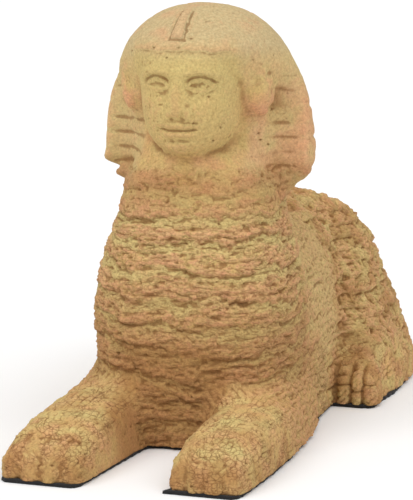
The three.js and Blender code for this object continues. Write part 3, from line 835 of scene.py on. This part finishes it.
class SPHINX_OT_casting(bpy.types.Operator):
    """Carve the weathered stone casting"""

    bl_idname = "sphinx.casting"
    bl_label = "Stone casting"

    def execute(self, context):
        settings = context.scene.sphinx_stone
        piece = new_piece("stone_sphinx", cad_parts["sphinx"].data.copy())
        drop_skirt(piece.data, SKIRT)
        even_mesh(piece, COARSE_SQUARE)
        self.soften(piece)
        even_mesh(piece, settings.fineness)
        self.carve(piece, settings)
        thin_out(piece, settings.triangles)
        trim_underside(piece, CAST_LOW[2])
        groups = (bpy.data.node_groups[name] for name in ("Fine grain", "Mottle", "Cracks"))
        dress(piece, stone_material(settings, *groups))
        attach(piece, "root")
        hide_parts("sphinx")
        return {"FINISHED"}

    def soften(self, piece):
        """Takes the facets and the regular rings off, and rounds the hollows where forms meet."""
        mesh = piece.data
        start = points_of(mesh)
        x, y, z = in_shares(start).T
        keep = 0.9 * face_mask(x, y, z) + 0.6 * ear_mask(x, y, z) + 0.75 * hind_paw_mask(x, y, z)
        keep += np.where(x > 0, 0.2, 0.6) * smoothstep(-y, 50, 54)
        points = relax(mesh, start, 16, 0.9 * (1 - np.clip(keep, 0, 1)))
        points += relax(mesh, start - points, 30, 0.9)
        bay = hump(y + 27, 6) * hump(z - 10, 9) * (1 - smoothstep(np.abs(x), 24, 28))
        outside = hump(y + 16, 12) * hump(z - 15, 7) * smoothstep(np.abs(x), 20, 24)
        under_chin = hump(z - 63, 5) * smoothstep(-y, 4, 9) * (1 - face_mask(x, y, z))
        points = relax(mesh, points, 40, 0.95 * np.clip(bay + outside + under_chin, 0, 1))
        set_points(mesh, points)

    def carve(self, piece, settings):
        """Moves the skin by the relief, and stores what the material reads."""
        mesh = piece.data
        points = relax(mesh, points_of(mesh), 2, 0.5)
        set_points(mesh, points)
        s = in_shares(points)
        x, y, z = s.T
        at = areas_of(s)
        pit = all_pits(s)
        out = self.relief(s, at, pit, settings)
        points = points + normals_of(mesh) * (out * MM)[:, None]
        points[:, 1] -= calm_face(x, z) * MM * at.face
        points[:, 1] += 2.6 * MM * smoothstep(z, *PAW_LEDGE) * smoothstep(-y, 52, 58) * (x < 0)
        points[:, 0] += 3.4 * MM * hump(z - WING_NOTCH, 0.9) * smoothstep(-x, 21.6, 24.4)
        temple = hump(np.abs(x) - 12.7, 1.7) * hump(z - 80, 5.5) * smoothstep(-y, 5, 8)
        points = relax(mesh, points, 14, 0.9 * temple)
        set_points(mesh, points)
        self.store_masks(mesh, points, s, at, pit)

    def relief(self, s, at, pit, settings):
        """How far each point of the skin stands out, in millimetres."""
        x, y, z = s.T
        out = settings.beds * at.beds * at.bedded
        out += settings.courses * block_courses(s) * at.haunch * (1 - at.hind_paw)
        out -= 1.6 * hump(z - 9, 7) * smoothstep(y, 30, 36) * smoothstep(np.abs(x), 30, 34)
        laid = np.clip(at.legs + 1.3 * at.hind_paw + at.low_side + 1.3 * at.haunch_foot, 0, 1.3)
        out += settings.masonry * small_masonry(s) * laid
        out += settings.pleating * wing_relief(s) * at.wings
        fore_toes = np.where(x > 0, toe_grooves(x, LEFT_PAW, 0.5), toe_grooves(x, RIGHT_PAW, 0.7))
        out += 0.35 * fore_toes * smoothstep(-y, 52.5, 55.5) * (1 - smoothstep(z, 7, 9))
        hind_toes = toe_grooves(np.abs(x), HIND_PAW, 0.5)
        out += 1.7 * hind_toes * at.hind_paw * (1 - smoothstep(z, 8.4, 10.5))
        toe = np.floor((np.abs(x) - HIND_PAW[0]) / (HIND_PAW[1] - HIND_PAW[0]) * 4)
        level = z - 0.5 * noise(s / 2.5, 42)
        low_line, high_line = level - 4.2 - np.sin(2.4 * toe), level - 8.6 - np.sin(4.1 * toe + 1)
        lines = hump(low_line, 0.4) + hump(high_line, 0.4)
        out -= 1.1 * lines * at.hind_paw * (1 - smoothstep(y, 26, 28))
        around_strip = cobra_mask(s, 0.7) - at.strip
        out += ear_relief(s) * (1 - at.face) + 0.6 * at.strip - 0.35 * around_strip
        crust = smoothstep(noise(s / 5, 43), -0.1, 0.35)
        rough_skin = at.flank + 1.3 * at.ear + 0.8 * at.face + 1.5 * at.neck * at.chest + 0.6 * at.crown
        out += 0.35 * ridged_noise(s / 2.2, 3, 44) * crust * np.clip(rough_skin, 0, 1.5)
        brow_edge = BAND_BOTTOM + 0.35 * noise(s / 3, 48)
        over_brow = 1 - smoothstep(z, BAND_BOTTOM + 1, BAND_BOTTOM + 5)
        band = smoothstep(z, brow_edge, brow_edge + 0.5) * over_brow
        worn_band = band * smoothstep(noise(s / 4, 46), -0.6, 0.1)
        out += 0.45 * worn_band * smoothstep(-y, 8, 12) * (1 - smoothstep(np.abs(x), 9.5, 13))
        out += 0.16 * layered_noise(s / 1.5, 3, 41) * (1 - 0.5 * at.cloth) * (1 - 0.5 * at.face)
        out -= 0.6 * pit
        out += sum(height * chip(s, centre, radius) for centre, radius, height in WING_LUMPS)
        return out

    def store_masks(self, mesh, points, s, at, pit):
        """Keeps one number per point, for each of the material's masks."""
        x, y, z = s.T
        normals = normals_of(mesh)
        close = np.einsum("ij,ij->i", relax(mesh, points, 4, 0.9) - points, normals) / MM
        wide = np.einsum("ij,ij->i", relax(mesh, points, 40, 0.9) - points, normals) / MM
        # The hollow side of the close curvature feeds painted shade in creases; its raised side feeds the
        # rosy tint of worn edges.
        store(mesh, "hollow", np.clip(close / 0.12, -1, 1))
        # Wide curvature, for painted shade in sheltered hollows.
        store(mesh, "sheltered", np.clip(wide / 0.8, -1, 1))
        # Pits and holes, with painted shade under the ledges of the beds.
        store(mesh, "pits", np.clip(pit + 0.75 * at.under * at.bedded, 0, 1))

        head_top = smoothstep(z, 78, 88)
        on_top = smoothstep(normals[:, 2], 0.45, 0.8) * smoothstep(noise(s / 4.5, 61), -0.25, 0.25)
        low_parts = at.haunch + at.haunch_foot + at.hind_paw
        patches = smoothstep(noise(s / 4.5, 63), 0, 0.35) * np.clip(low_parts + 0.9 * at.legs, 0, 1)
        neck_patches = at.neck * at.chest * smoothstep(noise(s / 5, 65), -0.1, 0.3)
        bare = 0.6 * head_top + 0.7 * at.face + 1.3 * at.bed_hollow * at.chest * (1 - at.legs)
        # The upward-facing term is painted highlight on the tops of the legs and hind paws.
        bare += 0.3 * on_top * np.clip(at.legs + at.hind_paw, 0, 1)
        # The flank's share is partly painted light from the right.
        bare = bare + 0.35 * at.flank + 0.7 * patches + 0.7 * neck_patches + 0.4 * at.wings * (x < 0)
        store(mesh, "smooth_skin_and_painted_light", np.clip(bare, 0, 1))

        rosy_crown = 0.7 * at.crown * smoothstep(noise(s / 6, 64), -0.1, 0.35)
        rosy_wing = 0.5 * at.wings * smoothstep(x, 10, 20) * (1 - smoothstep(z, 72, 84))
        rosy = at.chest * at.torn * 0.7 + 0.9 * at.ear + rosy_crown + rosy_wing
        store(mesh, "torn", np.clip(rosy + 0.8 * at.strip * (1 - smoothstep(z, 92, 94)), 0, 1))

        # Stains, with painted shade between the forelegs, under the chin and on the legs' front faces,
        # and darker towards the bottom of the chest and the legs.
        low_chest = at.chest * (1 - smoothstep(z, 18, 46))
        under_chest = (1 - smoothstep(np.abs(x), 9, 14)) * (1 - smoothstep(z, 16, 26))
        bay_shade = under_chest * (1 - smoothstep(-y, 34, 50))
        # The front-facing part is painted shade; the low part is darker towards the bottom.
        front_shade_and_low_darkening = 0.3 * smoothstep(-normals[:, 1], 0.5, 0.8) + 0.4 * (1 - smoothstep(z, 3, 8))
        leg_front_shade_and_low_darkening = at.legs * front_shade_and_low_darkening * (1 - on_top)
        stains = smoothstep(noise(s / 5.5, 62), -0.1, 0.35) * np.clip(low_parts + 0.7 * at.legs, 0, 1)
        stains_and_shade = 0.7 * low_chest + 1.2 * bay_shade + 0.5 * stains + 0.25 * at.hind_paw + leg_front_shade_and_low_darkening
        stains_and_shade += 0.3 * at.low_side
        # The neck term is painted shade under the chin.
        stains_and_shade += 0.65 * at.neck * at.chest * (1 - smoothstep(z, 62, 66)) + 0.15 * at.face
        store(mesh, "stains_and_shade", np.clip(stains_and_shade, 0, 1))

        store(mesh, "bedded", np.clip(at.bedded + 0.7 * at.haunch, 0, 1))
        dusty = smoothstep(z, 86, 94) + 0.4 * at.wings + 0.15 * at.flank
        store(mesh, "dusty", np.clip(dusty, 0, 1))
        store(mesh, "blocks", np.clip(at.legs + 0.6 * at.hind_paw + 0.5 * at.haunch_foot, 0, 1))


class SPHINX_OT_felt(bpy.types.Operator):
    """Lay the felt pad under the casting"""

    bl_idname = "sphinx.felt"
    bl_label = "Felt pad"

    def execute(self, context):
        settings = context.scene.sphinx_felt
        piece = new_piece("felt_sheet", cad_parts["felt_pad"].data.copy())
        low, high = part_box("felt_pad")
        form = bmesh.new()
        form.from_mesh(piece.data)
        cut_area = form.calc_volume() / (high[2] - low[2])
        form.free()
        even_mesh(piece, FELT_SQUARE)
        mesh = piece.data
        points = points_of(mesh)
        points = relax(mesh, points, 2, 0.5)
        normals = normals_of(mesh)
        sideways = normals.copy()
        sideways[:, 2] = 0
        points += sideways * (settings.fuzz * layered_noise(points / FIBRE_CLUMP, 2, 51))[:, None]
        points[:, 2] = np.clip(points[:, 2], low[2], high[2])
        set_points(mesh, points)
        thin_out(piece, FELT_TRIANGLES)
        dress(piece, felt_material(settings, bpy.data.node_groups["Fine grain"]))
        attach(piece, "root")
        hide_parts("felt_pad")
        return {"FINISHED"}


class SPHINX_OT_studio(bpy.types.Operator):
    """Set up the floor, the lights and the camera"""

    bl_idname = "sphinx.studio"
    bl_label = "Studio"

    def execute(self, context):
        settings = context.scene.sphinx_studio
        scene = context.scene
        self.camera(scene, settings)
        self.floor(settings)
        self.lights(scene, settings)
        scene.view_settings.view_transform = "Standard"
        return {"FINISHED"}

    def camera(self, scene, settings):
        turn, rise = settings.azimuth, settings.elevation
        level = math.cos(rise)
        back = Vector((math.sin(turn) * level, -math.cos(turn) * level, math.sin(rise)))
        camera = bpy.data.objects.new("Camera", bpy.data.cameras.new("Camera"))
        camera.data.lens = settings.lens
        camera.data.sensor_width = SENSOR_WIDTH
        camera.location = AIM + back * settings.distance
        camera.rotation_mode = "QUATERNION"
        camera.rotation_quaternion = (-back).to_track_quat("-Z", "Y")
        scene.collection.objects.link(camera)
        scene.camera = camera

    def floor(self, settings):
        form = bmesh.new()
        bmesh.ops.create_grid(form, x_segments=1, y_segments=1, size=4)
        mesh = bpy.data.meshes.new("Floor")
        form.to_mesh(mesh)
        form.free()
        floor = new_piece("studio_floor", mesh)
        material = bpy.data.materials.new("Floor")
        material.use_nodes = True
        shader = material.node_tree.nodes["Principled BSDF"]
        shader.inputs["Base Color"].default_value = (*settings.floor, 1)
        shader.inputs["Roughness"].default_value = 0.9
        mesh.materials.append(material)

    def lights(self, scene, settings):
        world = bpy.data.worlds.new("Studio")
        world.use_nodes = True
        tree = world.node_tree
        background = tree.nodes["Background"]
        background.inputs["Color"].default_value = (1, 1, 1, 1)
        seen = node(tree, "ShaderNodeLightPath").outputs["Is Camera Ray"]
        levels = {"Value": seen, "To Min": settings.sky, "To Max": settings.backdrop}
        brightness = node(tree, "ShaderNodeMapRange", levels).outputs["Result"]
        tree.links.new(brightness, background.inputs["Strength"])
        scene.world = world
        lamps = {
            "Key": ((-0.5, -0.75, 0.95), 40, settings.key),
            "Top": ((0.6, -0.35, 1.1), 70, settings.top),
        }
        for name, (place, softness, power) in lamps.items():
            lamp = bpy.data.lights.new(name, "SUN")
            lamp.angle = math.radians(softness)
            lamp.energy = power
            light = bpy.data.objects.new(name, lamp)
            light.location = place
            light.rotation_mode = "QUATERNION"
            light.rotation_quaternion = (-Vector(place)).to_track_quat("-Z", "Y")
            scene.collection.objects.link(light)


class SPHINX_PT_panel(bpy.types.Panel):
    """Lists the steps and their settings"""

    bl_idname = "SPHINX_PT_panel"
    bl_label = "Sphinx"
    bl_space_type = "VIEW_3D"
    bl_region_type = "UI"
    bl_category = "Sphinx"

    def draw(self, context):
        for operator, group in STEPS:
            self.layout.operator(operator.bl_idname)
            settings = getattr(context.scene, group)
            for name in settings.__annotations__:
                self.layout.prop(settings, name)


STEPS = (
    (SPHINX_OT_casting, "sphinx_stone"),
    (SPHINX_OT_felt, "sphinx_felt"),
    (SPHINX_OT_studio, "sphinx_studio"),
)
GROUPS = {"sphinx_stone": StoneSettings, "sphinx_felt": FeltSettings, "sphinx_studio": StudioSettings}


def register():
    for name, group in GROUPS.items():
        bpy.utils.register_class(group)
        setattr(bpy.types.Scene, name, bpy.props.PointerProperty(type=group))
    for operator, _ in STEPS:
        bpy.utils.register_class(operator)
    bpy.utils.register_class(SPHINX_PT_panel)


def unregister():
    bpy.utils.unregister_class(SPHINX_PT_panel)
    for operator, _ in reversed(STEPS):
        bpy.utils.unregister_class(operator)
    for name, group in GROUPS.items():
        delattr(bpy.types.Scene, name)
        bpy.utils.unregister_class(group)


def main():
    register()
    grain_group()
    mottle_group()
    crack_group()
    bpy.ops.sphinx.casting()
    bpy.ops.sphinx.felt()
    bpy.ops.sphinx.studio()
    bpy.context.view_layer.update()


if __name__ == "__main__":
    main()
